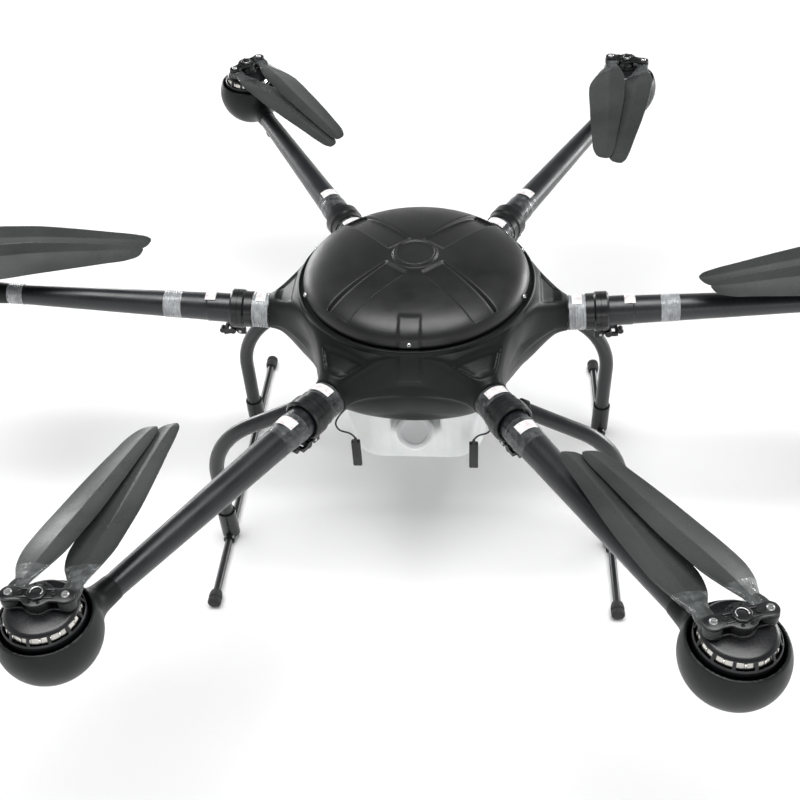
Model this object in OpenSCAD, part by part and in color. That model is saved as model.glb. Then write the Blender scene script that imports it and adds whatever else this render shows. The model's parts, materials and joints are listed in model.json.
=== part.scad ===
// Hexacopter with a spray tank: folding arms, folding propellers and tube skids.
// Millimetres, +Z up. The origin is on the floor under the middle of the hull, front is -Y.

/* [Airframe] */
// Distance across two opposite motor axes, along the ground
wheelbase = 1260; // [1200:10:1320]
// Height of the crossing point of the six arm axes above the floor
hub_z = 280; // [270:1:300]
// Upward slope of every arm
dihedral = 4.16; // [3:0.01:5]

/* [Hull] */
// Greatest radius of the hull body
hull_r = 172; // [170:1:174]
// Thickness of the moulded walls
wall = 3; // [2.5:0.1:3.5]
// Radius of the seam between hull and canopy
seam_r = 145.5; // [145:0.5:147]
// Height of the seam above the arm axes
seam_z = 72; // [70:1:74]
// Height of the canopy dome above the seam
dome_h = 34; // [32:1:36]

/* [Arms] */
// Outer radius of the arm tube at its inner end
tube_r = 18.6; // [18:0.1:19]
// Outer radius of the arm tube at the motor
tube_tip_r = 13; // [12:0.1:14]
// Radius of the collar ring
collar_r = 26; // [25:0.5:26]

/* [Propellers] */
// Distance from a blade's hinge to its tip
blade_len = 265; // [240:1:270]
// Distance from the motor axis to a blade's hinge
hinge_r = 26.5; // [26:0.5:28]
// Pitch of the blade near the root
root_pitch = 22; // [18:1:24]
// Pitch of the blade at the tip
tip_pitch = 9; // [6:1:12]

/* [Landing gear] */
// Distance from the centre plane to a skid tube
skid_x = 268; // [260:1:275]
// Outer radius of a leg tube
leg_r = 10; // [9:0.5:10]
// Radius of a skid tube
skid_r = 5; // [4:0.5:6]
// Radius of a rubber cap on a skid's end
cap_r = 9; // [8:0.5:10]

/* [Tank] */
// Width of the tank
tank_w = 196; // [180:1:200]
// Depth of the tank from front to rear
tank_d = 208; // [200:1:210]
// Height of the tank
tank_h = 92; // [88:1:100]

/* [Hidden] */
$fn = 48;
fit = 0.05; // radial clearance of every running fit
gap = 0.4; // clearance between bodies that only pass each other

ARMS = ["right", "rear_right", "rear_left", "left", "front_left", "front_right"];
azimuth = [0, 60, 120, 180, 240, 300];
// direction in which each propeller is folded, measured from its own arm
folded = [-174, -162, -167, -169, -158, 176];
// 1 turns anticlockwise seen from above, -1 clockwise
spin = [1, -1, 1, -1, 1, -1];
// how far the folded hub is turned, how far both its blades lean back, and how far their tips meet
hub_turn = 8.5;
blade_lean = 12;
blade_toe = 3.5;
// how far each clamp lever hangs open
droop = [0, 0, 0, 17, 0, 0];

// arm stations, measured along the arm from the body's centre line
motor_x = wheelbase / 2 / cos(dihedral);
nozzle_end = 197;
socket_in = 100;
socket_r = 20;
stub_r = 22.6;
stub_end = 221;
neck_r = 24;
neck_end = 231;
split_x = 240;
collar_end = 250;
mouth_r = 22.2;
sleeve_end = 281;
sleeve_r = 19.4;
pin_z = -31.5;
pin_r = 2;
ear_r = 4.5;
ear_in = 6;
ear_out = 10;
cam_x = 250.5;
cam_z = -32.5;
cam_r = 4.6;

// motor stations, measured from the arm axis along the motor axis
pod_r = 50;
pod_c = 12;
pod_rim = 35;
pedestal_r = 20;
boss_from = 70;
boss_to = 30;
tube_stop = 54;
seat_z = 10;
bell_r = 39;
bell_z = 18;
bell_top = 50;
plate_z = 52;
plate_t = 3;
eye_z = 55.3;
eye_h = 7.9;
eye_r = 9;
pin_top = 71;

// hull outline: a quarter ellipse below the widest line and another above it
core_r = 110;
low_h = 68;
high_h = 88;
low_a = -68;
high_a = asin(seam_z / high_h);
floor_z = low_h * sin(low_a);

// payload holes in the hull floor, for M4 screws
payload_x = 108;
payload_y = 40;
payload_r = 2.25;

// landing gear
skid_z = cap_r;
leg_bend = 105;
leg_slope = 27;
leg_y = [-148, 79];
leg_root_front = 106;
leg_root_rear = 82;
bend_z = hub_z - 152;
skid_front = -271;
skid_rear = 227;

// tank
tank_top = floor_z - 4;
cap_tilt = 45;
cap_at = [0, -110, -101];
neck_hole = 17;
cap_out = 25;

// antenna leads, relative to the crossing point of the arm axes
lead_r = 1.2;
pod_size = [12, 7, 45];
lead_left = [[-84, -122, -45], [-95, -131, -52], [-101, -135, -64], [-97, -133, -78],
             [-86, -128, -88], [-80, -126, -97], [-79, -126, -104]];
lead_right = [for (p = lead_left) [-p[0] - 2, p[1], p[2]]];

module hub() { translate([0, 0, hub_z]) children(); }

module arm(k) {
    hub() rotate([0, 0, azimuth[k]]) rotate([0, -dihedral, 0]) children();
}

module motor(k) { arm(k) translate([motor_x, 0, 0]) children(); }

module at_hub(k) { rotate([0, 0, folded[k] - 90 + spin[k] * hub_turn]) children(); }

module along_x(from, to, r1, r2 = undef) {
    translate([from, 0, 0]) rotate([0, 90, 0])
        cylinder(h = to - from, r1 = r1, r2 = is_undef(r2) ? r1 : r2);
}

module cross_pin(x, z, r, half) {
    translate([x, half, z]) rotate([90, 0, 0]) cylinder(h = 2 * half, r = r);
}

// ---- hull ----

function hull_line(inset, from, to) = [for (i = [0:12]) let (a = from + (to - from) * i / 12)
    [core_r + (hull_r - core_r - inset) * cos(a),
     a < 0 ? (low_h - inset) * sin(a) : (high_h - inset) * sin(a)]];

module hull_solid() {
    rotate_extrude($fn = 96)
        polygon(concat([[0, floor_z]], hull_line(0, low_a, high_a), [[0, seam_z]]));
}

module hull_hollow() {
    translate([0, 0, floor_z - 1]) cylinder(h = 20, r = 126.5, $fn = 96);
    rotate_extrude($fn = 96)
        polygon(concat([[0, floor_z + wall]], hull_line(wall, low_a + 4, high_a),
                       [[seam_r - 8, seam_z + 1], [0, seam_z + 1]]));
}

module leg_root(side, y, r, from, to) {
    translate([0, y, 0]) scale([side, 1, 1]) translate([skid_x - leg_bend, 0, bend_z])
        rotate([0, leg_slope - 90, 0]) translate([leg_bend, 0, from])
            cylinder(h = to - from, r = r);
}

module leg_path(side, y, root) {
    translate([0, y, 0]) scale([side, 1, 1]) {
        translate([skid_x, 0, skid_z + skid_r]) cylinder(h = bend_z - skid_z - skid_r, r = leg_r);
        translate([skid_x - leg_bend, 0, bend_z]) rotate([90, 0, 0])
            rotate_extrude(angle = 90 - leg_slope, $fn = 96) translate([leg_bend, 0]) circle(leg_r);
    }
    leg_root(side, y, leg_r, 0, root);
}

module hull_shell() {
    color("#2c2f33") difference() {
        union() {
            hub() hull_solid();
            for (k = [0:5]) arm(k) along_x(120, nozzle_end, 46, 23.3);
            for (s = [-1, 1]) {
                leg_root(s, leg_y[0], 14, 76, 116);
                leg_root(s, leg_y[1], 14, 46, 90);
            }
            for (s = [-1, 1]) hub() translate([s * 84, -122, -45]) sphere(4);
        }
        hub() hull_hollow();
        for (k = [0:5]) arm(k) {
            along_x(110, 184, 42, 23);
            along_x(110, nozzle_end + 1, socket_r);
        }
        for (s = [-1, 1], y = leg_y) leg_root(s, y, leg_r, 0, 130);
        hub() for (s = [-1, 1]) translate([s * 84, -122, -45]) sphere(2.5);
    }
}

module hull_floor() {
    color("#25272a") hub() difference() {
        translate([0, 0, floor_z]) cylinder(h = wall, r = 126.5, $fn = 96);
        for (x = [-payload_x, payload_x], y = [-payload_y, payload_y])
            translate([x, y, floor_z - 1]) cylinder(h = wall + 2, r = payload_r);
        for (a = [0:60:300]) rotate([0, 0, a + 30])
            translate([116, 0, floor_z - 1]) cylinder(h = wall + 2, r = 1.6);
    }
}

// ---- canopy ----

function dome_line(inset) = [for (i = [0:16]) let (a = 90 * i / 16)
    [(seam_r - inset) * pow(cos(a), 0.55), (dome_h - inset) * pow(sin(a), 0.9)]];

module dome(inset) {
    rotate_extrude($fn = 96)
        polygon(concat([[0, 0]], dome_line(inset)));
}

module canopy() {
    color("#33312f") hub() translate([0, 0, seam_z + gap]) difference() {
        union() {
            dome(0);
            cylinder(h = dome_h + 4.5, r = 29);
        }
        translate([0, 0, -0.01]) dome(wall);
        translate([0, 0, dome_h + 3]) cylinder(h = 5, r = 23);
    }
}

// ---- arm joint ----

module ear(y) {
    translate([0, y, 0]) rotate([90, 0, 0]) linear_extrude(ear_out - ear_in) children();
}

module socket(k) {
    arm(k) difference() {
        union() {
            along_x(socket_in, nozzle_end + 0.3, socket_r);
            along_x(nozzle_end + 0.3, stub_end, stub_r);
            along_x(stub_end, neck_end, neck_r);
            along_x(neck_end, neck_end + 2.4, neck_r, collar_r);
            along_x(neck_end + 2.4, split_x - gap / 2, collar_r);
            for (y = [-ear_in, ear_out]) ear(y) {
                translate([split_x, pin_z]) circle(ear_r);
                translate([split_x - 8, pin_z - ear_r]) square([8, 15]);
            }
        }
        along_x(socket_in - 1, split_x + 1, socket_r - 3);
        cross_pin(split_x, pin_z, pin_r, 12);
    }
}

module arm_sockets() { color("#1d1f21") for (k = [0:5]) socket(k); }

module fold_pins() {
    color("silver") for (k = [0:5]) arm(k) cross_pin(split_x, pin_z, pin_r, ear_out + 1);
}

module arm_collar(k) {
    color("#1b1d1f") arm(k) difference() {
        union() {
            along_x(split_x + gap / 2, collar_end - 2.4, collar_r);
            along_x(collar_end - 2.4, collar_end, collar_r, neck_r);
            rotate([90, 0, 0]) translate([0, 0, gap - ear_in]) linear_extrude(2 * (ear_in - gap)) {
                translate([split_x, pin_z]) circle(ear_r);
                translate([split_x + gap / 2, pin_z]) square([9.5, 12]);
                translate([cam_x, cam_z]) circle(ear_r);
                translate([split_x, pin_z - ear_r + 0.5]) square([cam_x - split_x, 6]);
                translate([cam_x - 3, cam_z]) square([6.5, 12]);
            }
        }
        along_x(split_x - 1, collar_end - 6, tube_r - 2);
        along_x(collar_end - 6, collar_end + 9, mouth_r);
        along_x(split_x + 2, collar_end, tube_r);
        cross_pin(split_x, pin_z, pin_r + fit, 12);
        cross_pin(cam_x, cam_z, pin_r + fit, 12);
    }
}

module cam_lever(k) {
    color("#222426") arm(k) translate([cam_x, 0, cam_z]) rotate([0, droop[k], 0]) {
        cross_pin(0, 0, pin_r, ear_out);
        for (y = [-ear_in, ear_out]) ear(y) {
            circle(cam_r);
            translate([0, -3]) square([12, 5]);
        }
        translate([9, -ear_out, -3]) cube([3.5, 2 * ear_out, 5]);
        rotate([90, 0, 0]) translate([0, 0, -4]) linear_extrude(8) {
            translate([9, -2.5]) square([6, 4]);
            translate([16, -0.5]) circle(4);
        }
    }
}

// ---- arm ----

module arm_tube(k) {
    color("#1e2124") arm(k) {
        difference() {
            union() {
                along_x(split_x + 2, sleeve_end, tube_r);
                along_x(collar_end + gap, sleeve_end, sleeve_r);
                along_x(sleeve_end, motor_x - boss_from, tube_r, tube_tip_r);
                along_x(motor_x - boss_from, motor_x - tube_stop, tube_tip_r);
            }
            along_x(split_x + 1, sleeve_end, tube_r - 2);
            along_x(sleeve_end - 0.01, motor_x - boss_from, tube_r - 2, tube_tip_r - 2);
            along_x(motor_x - boss_from - 0.01, motor_x - tube_stop + 1, tube_tip_r - 2);
        }
        if (azimuth[k] == 60 || azimuth[k] == 120)
            translate([0.86 * motor_x, 0, -tube_tip_r - 4]) sphere(8);
    }
}

// ---- motor ----

// an open sphere whose wall carries a pedestal for the motor and a boss for the arm tube
module pod_bowl() {
    difference() {
        union() {
            translate([0, 0, pod_c]) sphere(pod_r, $fn = 96);
            along_x(-boss_from, -boss_to, tube_tip_r + 4);
        }
        translate([0, 0, pod_c]) sphere(pod_r - wall, $fn = 96);
        translate([-pod_r, -pod_r, pod_rim]) cube(2 * pod_r);
        along_x(-boss_from - 1, -tube_stop, tube_tip_r);
    }
    difference() {
        translate([0, 0, pod_c - pod_r + 1.5]) cylinder(h = seat_z - pod_c + pod_r - 1.5, r = pedestal_r);
        translate([0, 0, -30]) cylinder(h = 50, r = 6);
    }
}

module motor_pod(k) {
    motor(k) {
        color("#1c1e20") pod_bowl();
        color("#5a4a3a") difference() {
            union() {
                translate([0, 0, seat_z]) cylinder(h = 4, r = 30);
                translate([0, 0, seat_z + 3]) cylinder(h = 24, r = 12);
                translate([0, 0, seat_z + 8]) cylinder(h = 18, r = 34);
            }
            translate([0, 0, seat_z - 1]) cylinder(h = 40, r = 4 + fit);
        }
    }
}

module clamp_outline() {
    square([2 * hinge_r, 14], center = true);
    for (s = [-1, 1]) translate([s * hinge_r, 0]) circle(eye_r - 1);
    circle(15);
}

module rotor(k) {
    motor(k) at_hub(k) {
        color("#26282b") {
            difference() {
                rotate_extrude($fn = 72) polygon([[0, bell_top - 6], [20, bell_top - 6],
                    [bell_r - 6, bell_top - 12], [bell_r - 3, bell_top - 16], [bell_r - 3, bell_z],
                    [bell_r, bell_z], [bell_r, bell_top - 10], [bell_r - 5, bell_top - 4],
                    [24, bell_top], [0, bell_top]]);
                for (a = [15:30:345]) rotate([0, 0, a])
                    translate([27, -3.5, bell_top - 14]) cube([20, 7, 7]);
            }
            translate([0, 0, bell_top - 1]) cylinder(h = plate_z - bell_top + 1, r = 15);
            translate([0, 0, plate_z]) linear_extrude(plate_t) clamp_outline();
            translate([0, 0, plate_z]) cylinder(h = 14, r = 13);
            translate([0, 0, eye_z + eye_h + gap]) linear_extrude(plate_t) clamp_outline();
        }
        color("silver") {
            translate([0, 0, 1]) cylinder(h = bell_top - 6, r = 4);
            for (s = [-1, 1]) translate([s * hinge_r, 0, plate_z]) {
                cylinder(h = pin_top - plate_z - 2, r = 2.5);
                translate([0, 0, eye_z + eye_h + gap + plate_t - plate_z]) cylinder(h = 2.2, r = 3.8);
            }
        }
    }
}

// ---- blades ----

// chord and leading edge of the blade, as fractions of its length and in millimetres
function chord(s) = lookup(s, [[0.03, 17], [0.08, 21], [0.16, 43], [0.26, 57], [0.4, 56],
    [0.6, 48], [0.8, 37], [0.93, 28], [0.985, 18], [1, 6]]);
function lead(s) = lookup(s, [[0.03, 8.5], [0.08, 10], [0.16, 18], [0.26, 23], [0.4, 23],
    [0.6, 19], [0.8, 13], [0.93, 8], [0.985, 4], [1, 0]]);
function pitch(s) = root_pitch + (tip_pitch - root_pitch) * s;
sag = 11;
blade_stations = [0.03, 0.07, 0.11, 0.16, 0.21, 0.26, 0.33, 0.4, 0.5, 0.6, 0.7, 0.8, 0.88, 0.93,
    0.97, 1];
// half thickness along the chord, as fractions of the chord
foil = [[0, 0], [0.08, 0.045], [0.3, 0.065], [0.6, 0.045], [1, 0.008], [0.6, -0.025],
    [0.3, -0.035], [0.08, -0.03]];

function blade_ring(s, turn) = [for (f = foil)
    let (c = chord(s), u = lead(s) - f[0] * c, v = f[1] * c * (s < 0.1 ? 1.6 : 1), p = pitch(s))
    [turn * (u * cos(p) - v * sin(p)), s * blade_len,
     u * sin(p) + v * cos(p) - sag * s * s]];

module blade_skin(turn) {
    n = len(foil);
    rings = [for (s = blade_stations) each blade_ring(s, turn)];
    last = len(blade_stations) - 1;
    sides = [for (i = [0:last - 1], j = [0:n - 1])
        let (a = i * n + j, b = i * n + (j + 1) % n) each [[a, b, b + n], [a, b + n, a + n]]];
    faces = concat(sides, [[for (j = [n - 1:-1:0]) j]], [[for (j = [0:n - 1]) last * n + j]]);
    polyhedron(rings, turn > 0 ? faces : [for (f = faces) [for (i = [len(f) - 1:-1:0]) f[i]]],
        convexity = 4);
}

// the folded blade lies near +Y of the hub, beside its twin
module blade(k, side) {
    color("#3a3d40") motor(k) at_hub(k) translate([side * hinge_r, 0, eye_z])
        rotate([0, 0, side * blade_toe - spin[k] * blade_lean]) difference() {
            union() {
                cylinder(h = eye_h, r = eye_r);
                translate([0, 0, eye_h / 2]) blade_skin(spin[k]);
            }
            translate([0, 0, -1]) cylinder(h = eye_h + 2, r = 2.5 + fit);
        }
}

// ---- inside the hull ----

module centre_frame() {
    color("#303336") hub() {
        difference() {
            union() {
                translate([0, 0, -26]) cylinder(h = 3, r = 130, $fn = 6);
                for (k = [0:5]) rotate([0, 0, azimuth[k]]) {
                    translate([104, -24, -24]) cube([22, 48, 30]);
                }
                for (x = [-30, 30], y = [-52, 52]) translate([x, y, -24]) cylinder(h = 71, r = 4);
                translate([-42, -58, 44]) cube([84, 116, 3]);
                for (a = [30:60:330]) rotate([0, 0, a])
                    translate([88, 0, floor_z + wall]) cylinder(h = -26 - floor_z - wall + 1, r = 5);
            }
            for (k = [0:5]) rotate([0, 0, azimuth[k]]) rotate([0, -dihedral, 0])
                along_x(95, 140, socket_r);
            translate([0, 0, -30]) cylinder(h = 12, r = 16);
        }
    }
}

module battery() {
    color("#2b3a55") hub() translate([-72, -44, -23]) cube([144, 88, 60]);
}

module flight_controller() {
    color("#3d4044") hub() {
        translate([-30, -38, 47]) cube([60, 76, 18]);
        translate([0, 20, 65]) cylinder(h = 6, r = 14);
    }
}

// ---- tank ----

module tank_block(inset) {
    r = 45;
    hull() for (x = [-1, 1], y = [-1, 1]) {
        translate([x * (tank_w / 2 - r), y * (tank_d / 2 - r) - 9, tank_top - 1 - inset])
            cylinder(h = 1, r = r - inset, $fn = 32);
        translate([x * (tank_w / 2 - r - 8), y * (tank_d / 2 - r - 6) - 9, tank_top - tank_h + inset])
            cylinder(h = 1, r = r - inset, $fn = 32);
    }
}

module at_neck() { translate(cap_at) rotate([cap_tilt, 0, 0]) children(); }

module tank() {
    color("#e9edec") hub() difference() {
        union() {
            difference() {
                tank_block(0);
                at_neck() translate([-34, -60, 0]) cube([68, 120, 60]);
            }
            at_neck() translate([0, 0, -2]) cylinder(h = 12, r = 21);
            for (x = [-50, 50]) translate([x - 8, -60, tank_top - 1]) cube([16, 100, 5]);
        }
        difference() {
            tank_block(wall);
            at_neck() translate([-37, -60, -wall]) cube([74, 120, 60]);
        }
        at_neck() translate([0, 0, -8]) cylinder(h = 30, r = neck_hole);
        translate([0, tank_d / 2 - 22, tank_top - 55]) rotate([-90, 0, 0]) cylinder(h = 40, r = 5);
    }
}

module tank_cap() {
    color("#f1f3f2") hub() at_neck() difference() {
        translate([0, 0, 1]) cylinder(h = 17, r = cap_out);
        translate([0, 0, 0]) cylinder(h = 11, r = 21 + fit);
    }
}

module pump() {
    color("#404346") hub() {
        translate([-26, tank_d / 2 + 1, floor_z - 36]) cube([52, 20, 36]);
        translate([0, tank_d / 2 - 14, tank_top - 55]) rotate([-90, 0, 0]) cylinder(h = 20, r = 5);
        translate([-9, tank_d / 2, tank_top - 62]) cube([18, 12, 32]);
    }
}

// ---- landing gear ----

module landing_legs() {
    color("#1d1f21") for (s = [-1, 1]) {
        leg_path(s, leg_y[0], leg_root_front);
        leg_path(s, leg_y[1], leg_root_rear);
    }
}

module skid_tubes() {
    color("#2a2c2e") for (s = [-1, 1]) translate([s * skid_x, skid_front, skid_z])
        rotate([-90, 0, 0]) cylinder(h = skid_rear - skid_front, r = skid_r);
}

module leg_clamps() {
    color("#151617") for (s = [-1, 1], y = leg_y) translate([s * skid_x, y, 0]) difference() {
        union() {
            translate([0, 0, skid_z]) cylinder(h = 46, r = leg_r + 2.5);
            translate([0, -16, skid_z]) rotate([-90, 0, 0]) cylinder(h = 32, r = skid_r + 3);
        }
        translate([0, 0, skid_z + skid_r]) cylinder(h = 60, r = leg_r);
        translate([0, -20, skid_z]) rotate([-90, 0, 0]) cylinder(h = 40, r = skid_r);
    }
}

module skid_caps() {
    color("#111213") for (s = [-1, 1], e = [0, 1])
        translate([s * skid_x, e == 0 ? skid_front : skid_rear, skid_z]) rotate([e == 0 ? 90 : -90, 0, 0])
            difference() {
                union() {
                    translate([0, 0, -18]) cylinder(h = 17, r1 = cap_r - 2, r2 = cap_r);
                    translate([0, 0, -1]) cylinder(h = 3, r = cap_r);
                    translate([0, 0, 2]) cylinder(h = 2, r1 = cap_r, r2 = cap_r - 2);
                }
                translate([0, 0, -19]) cylinder(h = 19, r = skid_r);
            }
}

// ---- antennas ----

function mix(a, b, t) = a + (b - a) * t;
// Catmull-Rom curve through the route's points
function spline(p, i, t) = let (n = len(p) - 1, a = p[max(i - 1, 0)], b = p[i], c = p[i + 1],
    d = p[min(i + 2, n)])
    0.5 * (2 * b + (c - a) * t + (2 * a - 5 * b + 4 * c - d) * t * t
        + (3 * b - a - 3 * c + d) * t * t * t);
function route(p, steps) = concat([for (i = [0:len(p) - 2], j = [0:steps - 1])
    spline(p, i, j / steps)], [p[len(p) - 1]]);
function unit(v) = v / norm(v);

module lead_tube(points) {
    path = route(points, 3);
    n = len(path);
    sides = 8;
    rings = [for (i = [0:n - 1]) let (t = unit(path[min(i + 1, n - 1)] - path[max(i - 1, 0)]),
        u = unit(cross(t, [0, 1, 0])), v = cross(t, u))
        for (j = [0:sides - 1]) path[i] + lead_r * (u * cos(45 * j) + v * sin(45 * j))];
    faces = concat([for (i = [0:n - 2], j = [0:sides - 1])
        let (a = i * sides + j, b = i * sides + (j + 1) % sides)
        each [[a, a + sides, b + sides], [a, b + sides, b]]],
        [[for (j = [0:sides - 1]) j]], [[for (j = [sides - 1:-1:0]) (n - 1) * sides + j]]);
    polyhedron(rings, faces, convexity = 4);
}

module antenna_lead_left() { color("#1a1a1a") hub() lead_tube(lead_left); }

module antenna_lead_right() { color("#1a1a1a") hub() lead_tube(lead_right); }

module antenna_pods() {
    color("#0f0f10") hub() for (p = [lead_left, lead_right]) translate(p[len(p) - 1])
        translate([-pod_size[0] / 2, -pod_size[1] / 2, -pod_size[2]]) cube(pod_size);
}

for (k = [0:5]) {
    arm_tube(k);
    arm_collar(k);
    cam_lever(k);
    motor_pod(k);
    rotor(k);
    blade(k, 1);
    blade(k, -1);
}
hull_shell();
hull_floor();
canopy();
arm_sockets();
fold_pins();
centre_frame();
battery();
flight_controller();
tank();
tank_cap();
pump();
landing_legs();
skid_tubes();
leg_clamps();
skid_caps();
antenna_lead_left();
antenna_lead_right();
antenna_pods();
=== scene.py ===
import json
import math

import bmesh
import bpy
import numpy as np
from mathutils import Matrix, Vector


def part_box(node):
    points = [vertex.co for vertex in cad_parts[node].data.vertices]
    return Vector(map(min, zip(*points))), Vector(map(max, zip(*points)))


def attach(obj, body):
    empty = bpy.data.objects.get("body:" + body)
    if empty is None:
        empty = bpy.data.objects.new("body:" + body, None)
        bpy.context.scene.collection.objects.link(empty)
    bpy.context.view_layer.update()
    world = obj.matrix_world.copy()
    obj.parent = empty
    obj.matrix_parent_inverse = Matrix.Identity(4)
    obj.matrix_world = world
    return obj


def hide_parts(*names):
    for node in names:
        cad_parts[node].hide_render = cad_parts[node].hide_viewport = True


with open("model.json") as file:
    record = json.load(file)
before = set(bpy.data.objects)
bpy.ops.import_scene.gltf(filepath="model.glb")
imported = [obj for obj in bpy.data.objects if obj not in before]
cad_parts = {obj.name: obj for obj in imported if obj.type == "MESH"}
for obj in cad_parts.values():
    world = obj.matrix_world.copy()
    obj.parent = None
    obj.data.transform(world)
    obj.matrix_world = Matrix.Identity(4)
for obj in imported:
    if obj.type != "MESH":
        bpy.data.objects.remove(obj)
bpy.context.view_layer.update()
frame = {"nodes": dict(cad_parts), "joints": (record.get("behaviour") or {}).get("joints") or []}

MM = 0.001
JOINTS = {j["name"]: j for j in frame["joints"]}
ARMS = [n[len("rotor_spin_"):] for n in JOINTS if n.startswith("rotor_spin_")]
SIDE_ARMS = ("left", "right")
REAR_ARMS = ("rear_left", "rear_right")


# ---- places, read from the frame ----

def arm_space(arm):
    """Arm axes: x out along the tube, z along the motor shaft, from where the six arms cross."""
    spin = JOINTS["rotor_spin_" + arm]
    up = Vector(spin["axis"]).normalized()
    motor = Vector(spin["pos_m"])
    flat = Vector((motor.x, motor.y, 0)).normalized()
    out = (flat - up * flat.dot(up)).normalized()
    reach = motor.xy.length / out.xy.length
    turn = Matrix((out, up.cross(out), up)).transposed().to_4x4()
    return Matrix.Translation(motor - out * reach) @ turn


def motor_space(arm):
    """The arm's axes, moved out to the motor."""
    return arm_space(arm) @ Matrix.Translation((MOTOR_X, 0, 0))


def rotor_space(arm):
    """Hub axes: x from blade b's hinge to blade a's, y along the folded blades."""
    a = Vector(JOINTS["blade_a_fold_" + arm]["pos_m"])
    b = Vector(JOINTS["blade_b_fold_" + arm]["pos_m"])
    up = Vector(JOINTS["rotor_spin_" + arm]["axis"]).normalized()
    across = (a - b).normalized()
    turn = Matrix((across, up.cross(across), up)).transposed().to_4x4()
    return Matrix.Translation(Vector(JOINTS["rotor_spin_" + arm]["pos_m"])) @ turn


HUB = arm_space("right").translation
MOTOR_X = (Vector(JOINTS["rotor_spin_right"]["pos_m"]) - HUB).length
HINGE_R = (Vector(JOINTS["blade_a_fold_right"]["pos_m"])
           - Vector(JOINTS["blade_b_fold_right"]["pos_m"])).length / 2
HUB_SPACE = Matrix.Translation(HUB)


# ---- mesh helpers ----

def make_mesh(name, verts, faces, material, space=None, sharp=35):
    """A mesh from points in metres. Corners sharper than the given angle stay crisp."""
    mesh = bpy.data.meshes.new(name)
    verts = np.asarray(verts, float).reshape(-1, 3)
    mesh.from_pydata([tuple(v) for v in verts], [], [tuple(f) for f in faces])
    if space is not None:
        mesh.transform(space)
    work = bmesh.new()
    work.from_mesh(mesh)
    bmesh.ops.remove_doubles(work, verts=work.verts, dist=1e-6)
    bmesh.ops.recalc_face_normals(work, faces=work.faces)
    for face in work.faces:
        face.smooth = True
    for edge in work.edges:
        if len(edge.link_faces) == 2 and edge.calc_face_angle(0) > math.radians(sharp):
            edge.smooth = False
    work.to_mesh(mesh)
    work.free()
    mesh.materials.append(material)
    return mesh


def place_piece(name, mesh, body, nodes=(), space=None):
    """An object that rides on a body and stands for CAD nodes."""
    piece = bpy.data.objects.new(name, mesh)
    bpy.context.scene.collection.objects.link(piece)
    if space is not None:
        piece.matrix_world = space
    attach(piece, body)
    if nodes:
        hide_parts(*nodes)
    return piece


def add_piece(name, verts, faces, material, body, nodes=(), slot=None, space=None, sharp=35):
    """A new mesh, given in its own space, as a piece of the model."""
    mesh = make_mesh(name, verts, faces, material, space, sharp)
    return place_piece(name, mesh, body, nodes)


def grid_faces(rows, cols, closed=True, start=0):
    """Quads over rows of points; closed joins the last column to the first."""
    span = cols if closed else cols - 1
    return [(start + i * cols + j, start + i * cols + (j + 1) % cols,
             start + (i + 1) * cols + (j + 1) % cols, start + (i + 1) * cols + j)
            for i in range(rows - 1) for j in range(span)]


def rounded(points, radius, steps=4, closed=False):
    """A polyline with its corners rounded. radius is one number or one for each point."""
    pts = [np.array(p, float) for p in points]
    radii = radius if isinstance(radius, (list, tuple)) else [radius] * len(pts)
    result = []
    for i, p in enumerate(pts):
        if not closed and i in (0, len(pts) - 1) or radii[i] == 0:
            result.append(p)
            continue
        a, b = pts[i - 1] - p, pts[(i + 1) % len(pts)] - p
        reach = min(radii[i], np.linalg.norm(a) * 0.45, np.linalg.norm(b) * 0.45)
        first, last = p + a / np.linalg.norm(a) * reach, p + b / np.linalg.norm(b) * reach
        for k in range(steps + 1):
            t = k / steps
            result.append((1 - t) ** 2 * first + 2 * t * (1 - t) * p + t * t * last)
    return result


def lathe(profile, segments=64, wave=None):
    """Points and faces of a profile of (radius, height) turned about z, in millimetres."""
    rows = np.array([(max(r, 0.001), z) for r, z in profile])
    turn = np.arange(segments) * 2 * math.pi / segments
    scale = np.ones((len(rows), segments)) if wave is None else wave(rows, turn)
    x = rows[:, :1] * scale * np.cos(turn)
    y = rows[:, :1] * scale * np.sin(turn)
    z = np.repeat(rows[:, 1:], segments, axis=1)
    return np.stack([x, y, z], -1).reshape(-1, 3) * MM, grid_faces(len(rows), segments)


AXIS_X = Matrix(((0, 0, 1, 0), (0, 1, 0, 0), (-1, 0, 0, 0), (0, 0, 0, 1)))


def lathe_x(profile, segments=48):
    """A profile of (radius, distance) turned about the arm's x axis."""
    verts, faces = lathe(profile, segments)
    return verts @ np.array(AXIS_X.to_3x3()).T, faces


def joined(*parts):
    """Several (points, faces) pairs as one."""
    verts, faces, base = [], [], 0
    for v, f in parts:
        verts.append(np.asarray(v, float).reshape(-1, 3))
        faces += [tuple(i + base for i in face) for face in f]
        base += len(verts[-1])
    return np.concatenate(verts), faces


def moved(part, space):
    """A (points, faces) pair moved by a matrix."""
    verts, faces = part
    m = np.array(space)
    return verts @ m[:3, :3].T + m[:3, 3], faces


def at(x=0, y=0, z=0, turn=0):
    """A place in millimetres, turned about z by degrees."""
    return Matrix.Translation((x * MM, y * MM, z * MM)) @ Matrix.Rotation(math.radians(turn), 4, "Z")


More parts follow.
